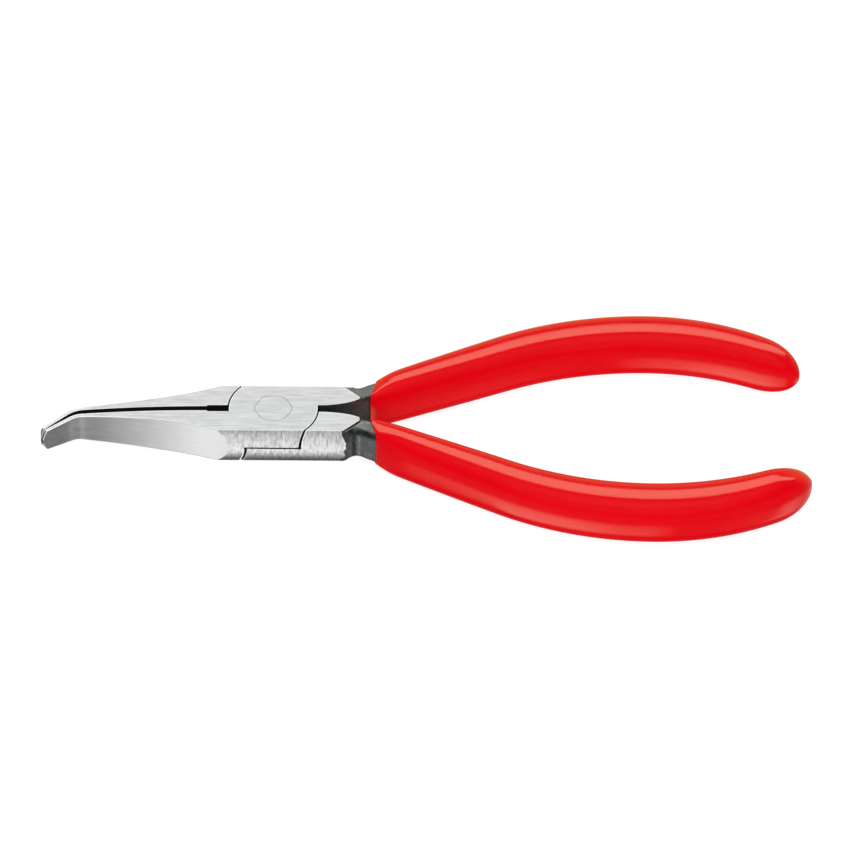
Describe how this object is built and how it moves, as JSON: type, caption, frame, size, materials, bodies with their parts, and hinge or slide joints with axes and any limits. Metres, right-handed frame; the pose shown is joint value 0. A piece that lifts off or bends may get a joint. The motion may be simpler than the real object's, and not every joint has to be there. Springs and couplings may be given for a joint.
{
  "type": "bent nose pliers",
  "caption": "Slim needle-nose pliers with a bent nose, a riveted lap joint and dip-coated curved handles.",
  "frame": {"origin": "on the pivot axis, in the ground underside of the joint", "axes": "+X from the pivot to the handles, +Y to the handle of half A, +Z along the pivot axis to the ground top face of the joint"},
  "size_m": [0.1342, 0.0514, 0.0091],
  "materials": {
    "ground_steel": "belt-ground head, with blackened forged tangs between the head and the coating",
    "coating": "glossy dip-coated vinyl"
  },
  "bodies": {
    "first_half": {"half_a": "ground_steel", "pivot_rivet": "ground_steel", "grip_a": "coating"},
    "second_half": {"half_b": "ground_steel", "grip_b": "coating"}
  },
  "joints": [
    {"name": "jaw_hinge", "type": "hinge", "parent": "first_half", "child": "second_half", "pos_m": [0, 0, 0.00365], "axis": [0, 0, -1], "range_deg": [0, 25]}
  ]
}
